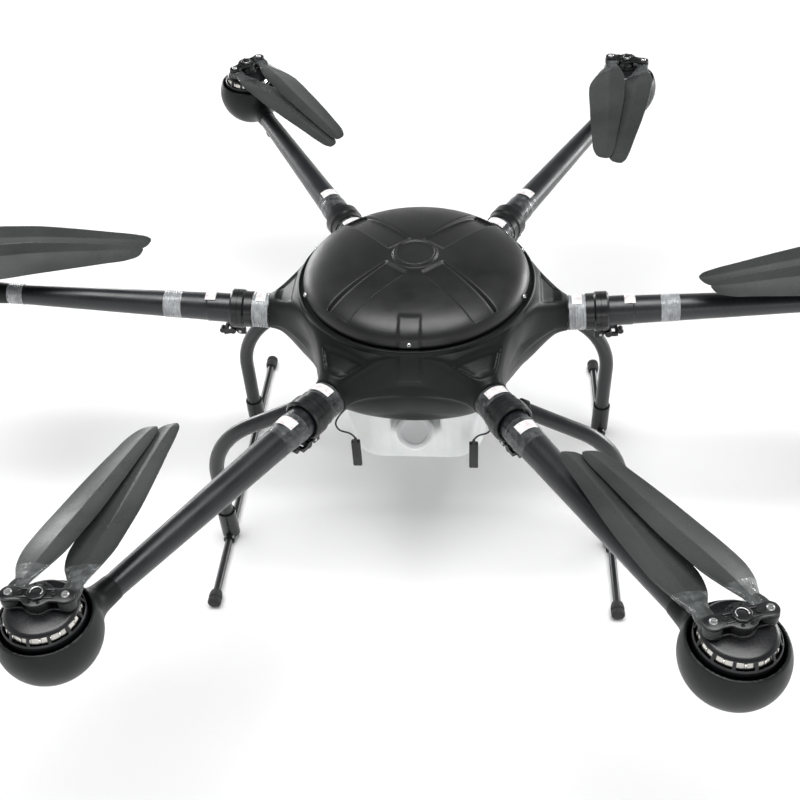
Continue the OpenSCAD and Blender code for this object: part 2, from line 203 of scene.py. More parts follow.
def plate(outline, low, high, bevel=0.5):
    """An extruded outline with bevelled edges, in millimetres."""
    pts = np.array(outline, float)
    centre = pts.mean(0)
    ahead, behind = np.roll(pts, -1, 0), np.roll(pts, 1, 0)
    tangent = ahead - behind
    normal = np.stack([tangent[:, 1], -tangent[:, 0]], 1)
    normal /= np.linalg.norm(normal, axis=1, keepdims=True) + 1e-9
    area = np.sum(pts[:, 0] * ahead[:, 1] - ahead[:, 0] * pts[:, 1])
    normal *= math.copysign(1, area)
    rings = []
    for inset, z in ((bevel, low), (0.3 * bevel, low + 0.3 * bevel), (0, low + bevel),
                     (0, high - bevel), (0.3 * bevel, high - 0.3 * bevel), (bevel, high)):
        rings.append(np.column_stack([pts - normal * inset, np.full(len(pts), z)]))
    n = len(pts)
    verts = np.concatenate(rings) * MM
    faces = grid_faces(len(rings), n)
    verts = np.vstack([verts, [*(centre * MM), low * MM], [*(centre * MM), high * MM]])
    top = (len(rings) - 1) * n
    faces += [((j + 1) % n, j, len(verts) - 2) for j in range(n)]
    faces += [(top + j, top + (j + 1) % n, len(verts) - 1) for j in range(n)]
    return verts, faces


def spline(points, steps):
    """A Catmull-Rom curve through the points."""
    p = [np.array(q, float) for q in points]
    out = []
    for i in range(len(p) - 1):
        a, b, c, d = p[max(i - 1, 0)], p[i], p[i + 1], p[min(i + 2, len(p) - 1)]
        for k in range(steps):
            t = k / steps
            out.append(0.5 * (2 * b + (c - a) * t + (2 * a - 5 * b + 4 * c - d) * t * t
                              + (3 * b - a - 3 * c + d) * t ** 3))
    return out + [p[-1]]


def sweep(path, radius, sides=24):
    """A tube along a path in millimetres with closed, rounded ends."""
    path = np.array(path, float)
    tangent = np.gradient(path, axis=0)
    tangent /= np.linalg.norm(tangent, axis=1, keepdims=True)
    side = np.cross(tangent[0], (0.3, 0.9, 0.1))
    rings = []
    turn = np.arange(sides) * 2 * math.pi / sides
    radii = np.full(len(path), float(radius)) if np.isscalar(radius) else np.asarray(radius, float)
    for p, t, r in zip(path, tangent, radii):
        side = side - t * np.dot(side, t)
        side /= np.linalg.norm(side)
        other = np.cross(t, side)
        rings.append(p + r * (np.outer(np.cos(turn), side) + np.outer(np.sin(turn), other)))
    verts = np.concatenate(rings + [path[:1], path[-1:]]) * MM
    n, last = sides, (len(path) - 1) * sides
    faces = grid_faces(len(path), sides)
    faces += [((j + 1) % n, j, len(verts) - 2) for j in range(n)]
    faces += [(last + j, last + (j + 1) % n, len(verts) - 1) for j in range(n)]
    return verts, faces


# ---- moulded shapes from distance fields ----

def smooth_min(a, b, k):
    h = np.clip(0.5 + 0.5 * (b - a) / k, 0, 1)
    return b + (a - b) * h - k * h * (1 - h)


def smooth_max(a, b, k):
    return -smooth_min(-a, -b, k)


def outline_distance(points, x, y):
    """Signed distance to a closed outline, negative inside."""
    best = np.full(x.shape, 1e9)
    inside = np.zeros(x.shape, bool)
    for (ax, ay), (bx, by) in zip(points, points[1:] + points[:1]):
        ex, ey = bx - ax, by - ay
        t = np.clip(((x - ax) * ex + (y - ay) * ey) / (ex * ex + ey * ey), 0, 1)
        best = np.minimum(best, (x - ax - t * ex) ** 2 + (y - ay - t * ey) ** 2)
        crosses = (ay > y) != (by > y)
        inside ^= crosses & (x < (bx - ax) * (y - ay) / (by - ay + 1e-12) + ax)
    return np.where(inside, -1, 1) * np.sqrt(best)


def turned_field(profile, reach, low, high, step=0.5):
    """Distance to a turned outline, as a function of radius and height, from a fine table."""
    r = np.arange(0, reach + step, step)
    z = np.arange(low, high + step, step)
    table = outline_distance([tuple(p) for p in profile], *np.meshgrid(r, z, indexing="ij"))

    def field(radius, height):
        u = np.clip(radius / step, 0, len(r) - 1.001)
        v = np.clip((height - low) / step, 0, len(z) - 1.001)
        i, j = u.astype(int), v.astype(int)
        f, g = u - i, v - j
        return ((table[i, j] * (1 - f) + table[i + 1, j] * f) * (1 - g)
                + (table[i, j + 1] * (1 - f) + table[i + 1, j + 1] * f) * g)
    return field


def moulded(field, low, high, step):
    """The zero surface of a distance field in millimetres, as even quads (surface nets)."""
    axes = [np.arange(a, b + step, step) for a, b in zip(low, high)]
    value = field(*np.meshgrid(*axes, indexing="ij"))
    size = [n - 1 for n in value.shape]
    total = np.zeros(size + [3])
    hits = np.zeros(size)

    def corner(c):
        return value[c[0]:c[0] + size[0], c[1]:c[1] + size[1], c[2]:c[2] + size[2]]

    corners = [(i, j, k) for i in (0, 1) for j in (0, 1) for k in (0, 1)]
    for a in corners:
        for axis in range(3):
            if a[axis]:
                continue
            b = tuple(c + (n == axis) for n, c in enumerate(a))
            va, vb = corner(a), corner(b)
            cross = (va < 0) != (vb < 0)
            t = np.where(cross, va / np.where(cross, va - vb, 1), 0)
            for n in range(3):
                total[..., n] += np.where(cross, a[n] + (t if n == axis else 0), 0)
            hits += cross
    active = hits > 0
    index = np.full(size, -1)
    index[active] = np.arange(active.sum())
    cell = np.argwhere(active)
    verts = (cell + total[active] / hits[active][:, None]) * step + np.array(low)
    for _ in range(2):
        verts = settle(field, verts, step)
    faces = []
    inside = value < 0
    for axis in range(3):
        u, v = [n for n in range(3) if n != axis]
        here = [slice(1, -1)] * 3
        here[axis] = slice(0, -1)
        there = list(here)
        there[axis] = slice(1, None)
        edge = np.argwhere(inside[tuple(here)] != inside[tuple(there)])
        edge[:, u] += 1
        edge[:, v] += 1
        quad = []
        for du, dv in ((0, 0), (-1, 0), (-1, -1), (0, -1)):
            c = edge.copy()
            c[:, u] += du
            c[:, v] += dv
            quad.append(index[c[:, 0], c[:, 1], c[:, 2]])
        quad = np.stack(quad, 1)
        faces += [tuple(q) for q in quad[(quad >= 0).all(1)]]
    return verts * MM, faces


def settle(field, verts, step):
    """Moves points onto the surface, along the field's slope."""
    h = step * 0.25
    value = field(*verts.T)
    slope = np.stack([(field(*(verts + h * e).T) - field(*(verts - h * e).T)) / (2 * h)
                      for e in np.eye(3)], 1)
    length = np.maximum((slope ** 2).sum(1), 0.2)
    shift = slope * (value / length)[:, None]
    return verts - np.clip(shift, -0.4 * step, 0.4 * step)


# ---- materials ----

def shader(name, colour, roughness, metallic=0.0, **sockets):
    material = bpy.data.materials.new(name)
    material.use_nodes = True
    tree = material.node_tree
    bsdf = tree.nodes["Principled BSDF"]
    bsdf.inputs["Base Color"].default_value = (*colour, 1)
    bsdf.inputs["Roughness"].default_value = roughness
    bsdf.inputs["Metallic"].default_value = metallic
    for key, value in sockets.items():
        bsdf.inputs[key.replace("_", " ")].default_value = value
    place = tree.nodes.new("ShaderNodeTexCoord")
    return material, tree, bsdf, place


def noise(tree, place, scale, detail=4.0, rough=0.5, stretch=None):
    node = tree.nodes.new("ShaderNodeTexNoise")
    node.inputs["Scale"].default_value = scale
    node.inputs["Detail"].default_value = detail
    node.inputs["Roughness"].default_value = rough
    source = place.outputs["Object"]
    if stretch:
        mapping = tree.nodes.new("ShaderNodeMapping")
        mapping.inputs["Scale"].default_value = stretch
        tree.links.new(source, mapping.inputs["Vector"])
        source = mapping.outputs["Vector"]
    tree.links.new(source, node.inputs["Vector"])
    return node.outputs["Fac"]


def ramp(tree, factor, low, high, a=0.35, b=0.65):
    """A colour ramp from low to high; greys may be plain numbers."""
    node = tree.nodes.new("ShaderNodeValToRGB")
    tree.links.new(factor, node.inputs["Fac"])
    for element, value, spot in zip(node.color_ramp.elements, (low, high), (a, b)):
        element.position = spot
        element.color = (value, value, value, 1) if np.isscalar(value) else (*value, 1)
    return node.outputs["Color"]


def bump(tree, bsdf, height, distance, strength=1.0):
    node = tree.nodes.new("ShaderNodeBump")
    node.inputs["Distance"].default_value = distance
    node.inputs["Strength"].default_value = strength
    tree.links.new(height, node.inputs["Height"])
    tree.links.new(node.outputs["Normal"], bsdf.inputs["Normal"])


def mixed(tree, a, b, factor, mode="MIX"):
    node = tree.nodes.new("ShaderNodeMix")
    node.data_type = "RGBA"
    node.blend_type = mode
    tree.links.new(a, node.inputs[6])
    tree.links.new(b, node.inputs[7])
    if isinstance(factor, float):
        node.inputs[0].default_value = factor
    else:
        tree.links.new(factor, node.inputs[0])
    return node.outputs[2]


def moulded_plastic(name, dark, light, rough=(0.38, 0.52), grain=1400, depth=0.00006, **sockets):
    """Moulded plastic: cloudy colour, uneven gloss and a fine moulded grain."""
    material, tree, bsdf, place = shader(name, dark, 0.45, **sockets)
    cloud = ramp(tree, noise(tree, place, 9, 5, 0.55), dark, light)
    speck = ramp(tree, noise(tree, place, 420, 2), 0.82, 1.0, 0.3, 0.6)
    tree.links.new(mixed(tree, cloud, speck, 0.6, "MULTIPLY"), bsdf.inputs["Base Color"])
    tree.links.new(ramp(tree, noise(tree, place, 22, 6, 0.6), rough[0], rough[1]),
                   bsdf.inputs["Roughness"])
    bump(tree, bsdf, noise(tree, place, grain, 2), depth)
    return material


def wound_carbon(name, dark, light, rough=(0.28, 0.42)):
    """Wound carbon tube under a satin coat: crossing bands and a little orange peel."""
    material, tree, bsdf, place = shader(name, dark, 0.35, Coat_Weight=0.25, Coat_Roughness=0.3)
    bands = []
    for turn in (0.6, -0.6):
        wave = tree.nodes.new("ShaderNodeTexWave")
        wave.inputs["Scale"].default_value = 60
        wave.inputs["Distortion"].default_value = 1.5
        wave.inputs["Detail"].default_value = 3
        mapping = tree.nodes.new("ShaderNodeMapping")
        mapping.inputs["Rotation"].default_value = (0.3, turn, turn)
        tree.links.new(place.outputs["Object"], mapping.inputs["Vector"])
        tree.links.new(mapping.outputs["Vector"], wave.inputs["Vector"])
        bands.append(ramp(tree, wave.outputs["Fac"], dark, light, 0.2, 0.8))
    weave = mixed(tree, bands[0], bands[1], 0.5)
    cloud = ramp(tree, noise(tree, place, 14, 4), 0.75, 1.0)
    tree.links.new(mixed(tree, weave, cloud, 0.8, "MULTIPLY"), bsdf.inputs["Base Color"])
    tree.links.new(ramp(tree, noise(tree, place, 30, 5), rough[0], rough[1]),
                   bsdf.inputs["Roughness"])
    bump(tree, bsdf, noise(tree, place, 260, 3), 0.00005)
    return material


def brushed_metal(name, colour, rough=(0.2, 0.34), stretch=(1, 1, 30), metallic=1.0, **sockets):
    """Turned or brushed metal with fine tool marks."""
    material, tree, bsdf, place = shader(name, colour, 0.28, metallic, **sockets)
    marks = noise(tree, place, 900, 3, 0.6, stretch)
    dim = tuple(c * 0.8 for c in colour)
    tree.links.new(ramp(tree, noise(tree, place, 60, 4), dim, colour), bsdf.inputs["Base Color"])
    tree.links.new(ramp(tree, marks, rough[0], rough[1]), bsdf.inputs["Roughness"])
    bump(tree, bsdf, marks, 0.00003)
    return material


def milky_plastic(name, colour, shade, rough, **sockets):
    """Blow-moulded polyethylene: waxy, faintly mottled."""
    material, tree, bsdf, place = shader(name, colour, rough, Subsurface_Weight=0.25,
                                         Subsurface_Scale=0.01, **sockets)
    bsdf.inputs["Subsurface Radius"].default_value = (1.0, 0.9, 0.8)
    tree.links.new(ramp(tree, noise(tree, place, 12, 5, 0.6), shade, colour),
                   bsdf.inputs["Base Color"])
    tree.links.new(ramp(tree, noise(tree, place, 40, 4), rough - 0.06, rough + 0.08),
                   bsdf.inputs["Roughness"])
    bump(tree, bsdf, noise(tree, place, 90, 4), 0.0003, 0.5)
    return material


def clear_film(name, colour, cover, depth):
    """Clear shrink film: thin, glossy and wrinkled."""
    material, tree, bsdf, place = shader(name, colour, 0.12, Coat_Weight=1.0,
                                         Coat_Roughness=0.05)
    wrinkle = noise(tree, place, 130, 5, 0.65, (1, 1, 0.4))
    tree.links.new(ramp(tree, wrinkle, cover[0], cover[1], 0.42, 0.64), bsdf.inputs["Alpha"])
    tree.links.new(ramp(tree, wrinkle, 0.05, 0.20), bsdf.inputs["Roughness"])
    bump(tree, bsdf, wrinkle, depth)
    return material


def blank_label(name):
    """White vinyl label, blank, a little creased."""
    material, tree, bsdf, place = shader(name, (0.76, 0.75, 0.75), 0.4)
    tree.links.new(ramp(tree, noise(tree, place, 160, 5, 0.7), (0.62, 0.54, 0.54),
                        (0.78, 0.77, 0.77), 0.36, 0.5), bsdf.inputs["Base Color"])
    tree.links.new(ramp(tree, noise(tree, place, 70, 3), 0.3, 0.5), bsdf.inputs["Roughness"])
    bump(tree, bsdf, noise(tree, place, 220, 4), 0.0001)
    return material


HULL = moulded_plastic("hull_plastic", (0.0050, 0.0060, 0.0060), (0.0085, 0.0100, 0.0100),
                       (0.30, 0.42), Specular_IOR_Level=0.18)
CANOPY = moulded_plastic("canopy_plastic", (0.0045, 0.0050, 0.0048), (0.0075, 0.0082, 0.0078),
                         (0.32, 0.44), Specular_IOR_Level=0.50)
POD = moulded_plastic("pod_plastic", (0.0080, 0.0090, 0.0092), (0.0135, 0.0148, 0.0152), (0.34, 0.48),
                      Specular_IOR_Level=0.25)
TUBE = wound_carbon("carbon_tube", (0.0075, 0.0092, 0.0115), (0.0112, 0.0136, 0.0165))
LEG = wound_carbon("leg_carbon", (0.008, 0.009, 0.010), (0.012, 0.013, 0.015))
BLADE = moulded_plastic("blade_carbon", (0.034, 0.038, 0.036), (0.054, 0.059, 0.056),
                        (0.24, 0.34), 900, 0.00002, Specular_IOR_Level=0.12)
ALLOY = moulded_plastic("black_alloy", (0.006, 0.0065, 0.007), (0.011, 0.0115, 0.0125),
                        (0.24, 0.36), 2200, 0.00003)
BELL = brushed_metal("motor_alloy", (0.010, 0.0105, 0.012), (0.24, 0.36), (1, 1, 20), 0.0)
STEEL = brushed_metal("steel", (0.72, 0.72, 0.73))
WINDING = brushed_metal("bright_winding", (0.78, 0.76, 0.72), (0.12, 0.3), (4, 4, 1))
RUBBER = moulded_plastic("rubber", (0.010, 0.010, 0.011), (0.018, 0.018, 0.019), (0.6, 0.8), 700,
                         0.0002)
TANK = milky_plastic("tank_plastic", (0.85, 0.87, 0.86), (0.78, 0.81, 0.80), 0.34)
CAP = milky_plastic("cap_plastic", (0.97, 0.98, 0.98), (0.93, 0.94, 0.94), 0.4)
FILM = clear_film("clear_film", (0.30, 0.32, 0.33), (0.06, 0.30), 0.0004)
# Denser film for the side arms. Its pale silver-grey base colour is a painted sheen that stands in for
# light reflected off the ridged clear film.
FILM_DENSE_SHEEN = clear_film("dense_film_painted_sheen", (0.46, 0.48, 0.50), (0.55, 0.90), 0.0006)
LABEL = blank_label("blank_label")
WRAP = moulded_plastic("cell_wrap", (0.02, 0.04, 0.11), (0.03, 0.06, 0.16), (0.2, 0.3))
CASE = moulded_plastic("case_grey", (0.010, 0.010, 0.011), (0.016, 0.016, 0.017), (0.4, 0.6))
CABLE = moulded_plastic("cable", (0.008, 0.008, 0.009), (0.014, 0.014, 0.015), (0.45, 0.6))

KEPT = {"hull_floor": HULL, "arm_sockets": ALLOY, "fold_pins": STEEL, "centre_frame": CASE,
        "battery": WRAP, "flight_controller": CASE, "pump": CASE, "skid_tubes": LEG,
        "leg_clamps": ALLOY}
for name in ARMS:
    KEPT["arm_collar_" + name] = ALLOY
    KEPT["cam_lever_" + name] = ALLOY
for node, finish in KEPT.items():
    frame["nodes"][node].data.materials.clear()
    frame["nodes"][node].data.materials.append(finish)


# ---- camera, floor and light ----

def camera():
    """The photograph's view: from the front, above, a little to the right."""
    yaw, pitch, roll = (math.radians(a) for a in (-6.26, 42.89, -3.43))
    ahead = Vector((math.sin(yaw) * math.cos(pitch), math.cos(yaw) * math.cos(pitch),
                    -math.sin(pitch)))
    right = Vector((math.cos(yaw), -math.sin(yaw), 0))
    up = right.cross(ahead)
    level = right * math.cos(roll) + up * math.sin(roll)
    rise = up * math.cos(roll) - right * math.sin(roll)
    data = bpy.data.cameras.new("camera")
    data.lens = 46.63
    data.sensor_width = 36
    data.clip_end = 50
    eye = bpy.data.objects.new("camera", data)
    eye.matrix_world = (Matrix.Translation(HUB + Vector((0.0883, -1.0834, 0.8655)))
                        @ Matrix((level, rise, -ahead)).transposed().to_4x4())
    bpy.context.scene.collection.objects.link(eye)
    bpy.context.scene.camera = eye


def floor():
    """A round pale floor. The pale world shows past its edge."""
    radius = 4.4
    rim = [(radius * math.cos(a), radius * math.sin(a), 0)
           for a in np.arange(96) * 2 * math.pi / 96]
    mesh = bpy.data.meshes.new("floor")
    mesh.from_pydata(rim, [], [tuple(range(len(rim)))])
    material, tree, bsdf, place = shader("floor_paint", (0.95, 0.95, 0.95), 0.7)
    tree.links.new(ramp(tree, noise(tree, place, 0.7, 4), (0.94, 0.94, 0.94), (0.96, 0.96, 0.96)),
                   bsdf.inputs["Base Color"])
    mesh.materials.append(material)
    ground = bpy.data.objects.new("floor", mesh)
    ground.location.z = -0.0005
    bpy.context.scene.collection.objects.link(ground)


def lamp(name, place, aim, size, power):
    data = bpy.data.lights.new(name, "AREA")
    data.shape = "RECTANGLE"
    data.size, data.size_y = size
    data.energy = power
    light = bpy.data.objects.new(name, data)
    light.location = place
    direction = Vector(aim) - Vector(place)
    light.rotation_euler = direction.to_track_quat("-Z", "Y").to_euler()
    light.visible_camera = False
    bpy.context.scene.collection.objects.link(light)


def lights():
    world = bpy.data.worlds.new("studio")
    world.use_nodes = True
    tree = world.node_tree
    place = tree.nodes.new("ShaderNodeTexCoord")
    split = tree.nodes.new("ShaderNodeSeparateXYZ")
    tree.links.new(place.outputs["Generated"], split.inputs["Vector"])
    glow = ramp(tree, split.outputs["Z"], 0.95, 0.16, 0.08, 0.55)
    tree.links.new(glow, tree.nodes["Background"].inputs["Color"])
    bpy.context.scene.world = world
    lamp("overhead", (0, -0.15, 3.6), (0, -0.15, 0), (3.6, 1.8), 152)
    lamp("left", (-2.0, 2.4, 0.42), (0, 0, 0.36), (1.8, 0.7), 34)
    lamp("right", (2.5, 1.7, 0.42), (0, 0, 0.36), (1.8, 0.7), 40)
    lamp("front", (0.3, -3.4, 1.2), (0, 0, 0.1), (2.6, 0.9), 10)
    bpy.context.scene.view_settings.view_transform = "Standard"


camera()
floor()
lights()


# ---- antenna leads ----

def antennas():
    """Two short leads from the hull's underside, each with a small block on its end."""
    left = [(-84, -122, -45), (-95, -131, -52), (-101, -135, -64), (-97, -133, -78),
            (-86, -128, -88), (-80, -126, -97), (-79, -126, -104)]
    right = [(-x - 2, y, z) for x, y, z in left]
    for side, route in (("left", left), ("right", right)):
        line = spline([np.array(p) * MM + np.array(HUB) for p in route], 4)
        curve = bpy.data.curves.new("antenna_lead_" + side, "CURVE")
        curve.dimensions = "3D"
        curve.bevel_depth = 1.2 * MM
        curve.bevel_resolution = 4
        curve.use_fill_caps = True
        strand = curve.splines.new("POLY")
        strand.points.add(len(line) - 1)
        for point, place in zip(strand.points, line):
            point.co = (*place, 1)
        curve.materials.append(CABLE)
        lead = bpy.data.objects.new("lead_" + side, curve)
        bpy.context.scene.collection.objects.link(lead)
        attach(lead, "airframe")
        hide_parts("antenna_lead_" + side)
        block = antenna_block(side, route[-1])


def antenna_block(side, top):
    """A moulded block with rounded edges and a short boot for the lead."""
    wide, deep, tall = 12, 7, 45
    box = rounded([(-wide / 2, -deep / 2), (wide / 2, -deep / 2), (wide / 2, deep / 2),
                   (-wide / 2, deep / 2)], 2.2, 4, True)
    body = moved(plate(box, -tall, 0, 1.2), HUB_SPACE @ at(*top))
    boot = moved(lathe([(0, -1), (3.2, -1), (3.2, 0.5), (2.2, 3), (1.5, 6), (1.3, 6)], 24),
                 HUB_SPACE @ at(*top))
    nodes = ["antenna_pods"] if side == "left" else []
    return add_piece("antenna_block_" + side, *joined(body, boot), CASE, "airframe", nodes,
                     "case_grey")


antennas()


# ---- hull ----

SEAM_R = 145.5
SEAM_Z = 72.0
FLOOR_Z = -63.0


def hull_outline(inset=0.0):
    """Half the hull's section, as (radius, height): flat bottom and two quarter ellipses."""
    low = [(110 + (62 - inset) * math.cos(a) ** 1.18, -(68 - inset) * math.sin(-a) ** 1.18)
           for a in np.radians(np.linspace(-70, 0, 18))]
    high = [(110 + (62 - inset) * math.cos(a), (88 - inset) * math.sin(a))
            for a in np.radians(np.linspace(4, 49, 12))]
    bottom = [(0, FLOOR_Z + inset), (low[0][0] - 6, FLOOR_Z + inset)]
    return bottom + low + high


def hull_field():
    """A turned body drawn in between the arms, with nozzles, shoulders, pockets and a tab."""
    edge = [(149.5, 69), (147.6, 69), (147.6, 60), (140, 58), (0, 58)]
    outer = turned_field(hull_outline() + edge, 240, -110, 110)
    inner = turned_field(hull_outline(5.5) + [(141, 52), (137, 56), (137, 90), (0, 90)],
                         240, -110, 110)
    triangle = [(163, -34), (163, 34), (189, 10), (189, -10)]
    slope = math.asin(arm_space("right").col[0].z)
    spaces = [math.atan2(arm_space(a)[1][0], arm_space(a)[0][0]) for a in ARMS]

    def field(x, y, z):
        waist = np.clip((60 - z) / 40, 0, 1) * step_edge(z + 52, 30)
        radius = np.hypot(x, y) + 8.5 * (1 - np.cos(6 * np.arctan2(y, x))) * waist
        solid = outer(radius, z)
        pocket = np.zeros(x.shape)
        bore = np.full(x.shape, 1e9)
        for turn in spaces:
            flat = x * math.cos(turn) + y * math.sin(turn)
            v = -x * math.sin(turn) + y * math.cos(turn)
            u = flat * math.cos(slope) + z * math.sin(slope)
            w = -flat * math.sin(slope) + z * math.cos(slope)
            swell = 23.3 + 30 * np.clip((184 - u) / 74, 0, 1) ** 1.6
            side = (np.hypot(v, w * (1 + 0.1 * np.clip((176 - u) / 66, 0, 1))) - swell) * 0.9
            nozzle = smooth_max(side, u - 197, 2.0)
            nozzle = np.maximum(nozzle, 60 - u)
            solid = smooth_min(solid, nozzle, 30)
            ramp = smooth_max((w - 53 + (u - 153) * 0.675) * 0.83,
                              (np.abs(v) - 10 - (197 - u) * 0.92) * 0.74, 12)
            ramp = smooth_max(smooth_max(ramp, z - 63, 4), u - 194, 6)
            ramp = np.maximum.reduce([ramp, -w, 151 - np.hypot(x, y), 100 - u])
            solid = smooth_min(solid, ramp, 10)
            wedge = outline_distance(triangle, u, v)
            fade = np.clip((192 - u) / 12, 0, 1) * (w > 0)
            pocket = np.maximum(pocket, step_edge(-wedge - 1, 3.6) * fade)
            bore = np.minimum(bore, np.maximum(np.hypot(v, w) - 21, 120 - u))
        tab = step_edge(13 - np.abs(x), 4) * (y < -100) * step_edge(z - 30, 5)
        solid = solid + 3.2 * pocket - 1.8 * tab
        return np.maximum.reduce([solid, -inner(radius, z), -bore])
    return field


def hull():
    step = 2.1
    shell = moulded(hull_field(), (-204, -204, -67), (204, 204, 76), step)
    add_piece("hull_moulding", *shell, HULL, "airframe", ["hull_shell"], "hull_plastic",
              HUB_SPACE, 75)
    lip = lathe(rounded([(146.8, 60), (153.6, 63), (153.4, 70.4), (151.6, 72.2), (150, 71.8),
                         (149, 69.6), (146.8, 69.2), (146.8, 60)], [0, 1, 1, .8, .5, .5, .3, 0], 4),
                240)
    add_piece("hull_lip", *lip, HULL, "airframe", [], "hull_plastic", HUB_SPACE)
    seal = lathe([(137, 61), (147.6, 61), (148.2, 62.5), (148.0, 68.4), (147, 69.2), (145.6, 68.6),
                  (144.5, 66), (137, 65.5), (137, 61)], 180)
    add_piece("rim_seal", *seal, RUBBER, "airframe", [], "rubber", HUB_SPACE)
    sockets = []
    for leg_side in (-1, 1):
        for y, start in ((-148, 80), (79, 52)):
            sockets.append(leg_socket(leg_side, y, start))
    add_piece("leg_sockets", *joined(*sockets), ALLOY, "airframe", [], "black_alloy", HUB_SPACE)
    bolts = [moved(button_screw(3.4, 2.0), at(108 * math.cos(a), 108 * math.sin(a), FLOOR_Z)
                   @ Matrix.Rotation(math.pi, 4, "X")) for a in np.radians(np.arange(30, 390, 60))]
    add_piece("floor_screws", *joined(*bolts), STEEL, "airframe", [], "steel", HUB_SPACE)


def button_screw(radius, height):
    """A button-head screw with a hexagon socket, standing on z = 0."""
    profile = [(0, height * 0.45), (radius * 0.42, height * 0.45), (radius * 0.46, height * 0.98),
               (radius * 0.62, height), (radius * 0.85, height * 0.72), (radius, height * 0.3),
               (radius, 0), (0, 0)]

    def hexagon(rows, turn):
        cell = np.cos((turn + math.pi / 6) % (math.pi / 3) - math.pi / 6)
        inner = (np.arange(len(rows)) <= 2)[:, None]
        return np.where(inner, 0.9 / cell, 1.0)
    return lathe(profile, 36, hexagon)


# ---- canopy ----

DOME_H = 34.0
CHANNELS = [math.radians(a) for a in (-131, -49, 49, 131)]


def step_edge(value, width):
    t = np.clip(value / width + 0.5, 0, 1)
    return t * t * (3 - 2 * t)


def canopy_turns(radius):
    """Angles round the canopy whose columns follow the channels' straight edges."""
    reach = max(radius, 30)
    turns = []
    for n, middle in enumerate(CHANNELS):
        ahead = CHANNELS[(n + 1) % 4] + (2 * math.pi if n == 3 else 0)
        outer, inner = math.asin(19.4 / reach), math.asin(15.6 / reach)
        turns += list(np.linspace(middle - outer, middle - inner, 7)[:-1])
        turns += list(np.linspace(middle - inner, middle + inner, 17)[:-1])
        turns += list(np.linspace(middle + inner, middle + outer, 7)[:-1])
        turns += list(np.linspace(middle + outer, ahead - outer, 73)[:-1])
    return np.array(turns)


def canopy():
    """A shouldered dome with a centre boss, four flat channels and a tab at the front."""
    flat = [np.linspace(0.5, 22, 6), np.linspace(23, 30, 16), np.linspace(31, 40, 10),
            np.linspace(42, 131, 44), np.linspace(132, 139, 18)]
    rise = np.arccos((np.concatenate(flat) / SEAM_R) ** (1 / 0.55))
    a = np.concatenate([rise, np.linspace(rise[-1], 0, 30)[1:]])
    radius = SEAM_R * np.cos(a) ** 0.55
    radius[-1] = SEAM_R
    t = np.stack([canopy_turns(v) for v in radius])
    r = np.repeat(radius[:, None], t.shape[1], 1)
    z = np.repeat((SEAM_Z + 0.6 + DOME_H * np.sin(a) ** 0.9)[:, None], t.shape[1], 1)
    x, y = r * np.cos(t), r * np.sin(t)
    z = z + step_edge(28.5 - r, 3.0) * 4.2 - step_edge(24.5 - r, 2.2) * 1.5
    for angle in CHANNELS:
        along = x * math.cos(angle) + y * math.sin(angle)
        across = -x * math.sin(angle) + y * math.cos(angle)
        mask = step_edge(17.5 - np.abs(across), 3.4) * step_edge(along - 34, 7)
        mask = mask * step_edge(136 - along, 4.0)
        z = z - mask * (2.8 + 4.0 * np.clip((along - 40) / 95, 0, 1))
    tab = step_edge(13 - np.abs(x), 2.4) * (y < 0) * step_edge(r - 116, 6)
    z = z + tab * 1.6
    push = 1 + tab * 1.8 / np.maximum(r, 1)
    outer = np.stack([x * push, y * push, z], -1).reshape(-1, 3)
    under = [(SEAM_R - 0.4, SEAM_Z + 0.1), (SEAM_R - 3, SEAM_Z + 0.1)]
    inner = [((SEAM_R - 3.6) * math.cos(b) ** 0.55, SEAM_Z + (DOME_H - 9) * math.sin(b) ** 0.9)
             for b in np.radians(np.linspace(2, 90, 30))]
    lower = np.array([(p * math.cos(q), p * math.sin(q), h) for p, h in under + inner
                      for q in t[-1]])
    verts = np.concatenate([outer, lower]) * MM
    faces = grid_faces(len(a) + len(under) + len(inner), t.shape[1])
    add_piece("canopy_moulding", verts, faces, CANOPY, "canopy", ["canopy"], "canopy_plastic",
              HUB_SPACE, 60)
    screws = []
    for q in np.radians([-90, -20, 20, 90, 160, 200]):
        lean = Matrix.Rotation(q, 4, "Z") @ Matrix.Translation((145.4 * MM, 0, 78.5 * MM))
        screws.append(moved(button_screw(3.0, 2.2), lean @ Matrix.Rotation(math.radians(72), 4, "Y")))
    add_piece("canopy_screws", *joined(*screws), STEEL, "canopy", [], "steel", HUB_SPACE)


# ---- arms ----

def patch(radius, start, end, low, high, thick=0.35, cols=24):
    """A thin curved patch on a tube, between two angles, as a closed shell."""
    turn = np.radians(np.linspace(low, high, cols))
    rings = []
    for lift, x in ((0, start), (thick, start), (thick, (start + end) / 2), (thick, end), (0, end)):
        r = radius(x) + lift + 0.12
        rings.append(np.column_stack([np.full(cols, x), r * np.sin(turn), r * np.cos(turn)]))
    return np.concatenate(rings) * MM, grid_faces(len(rings), cols, False)


def tube_radius(x):
    """The arm tube's outer radius at a distance out along the arm."""
    if x < 281.5:
        return 19.4
    end = MOTOR_X / MM - 70
    return 18.6 + (13.0 - 18.6) * min((x - 281) / (end - 281), 1)


def film(start, end, radius, ridges):
    """A wrapped band of clear film with soft ridges."""
    stations = np.linspace(start, end, ridges * 6 + 1)
    profile = [(radius(start), start)]
    profile += [(radius(x) + 0.5 + 0.35 * math.sin((x - start) / (end - start) * ridges * 2 * math.pi),
                 x) for x in stations]
    profile += [(radius(end), end)]
    return lathe_x(profile, 64)


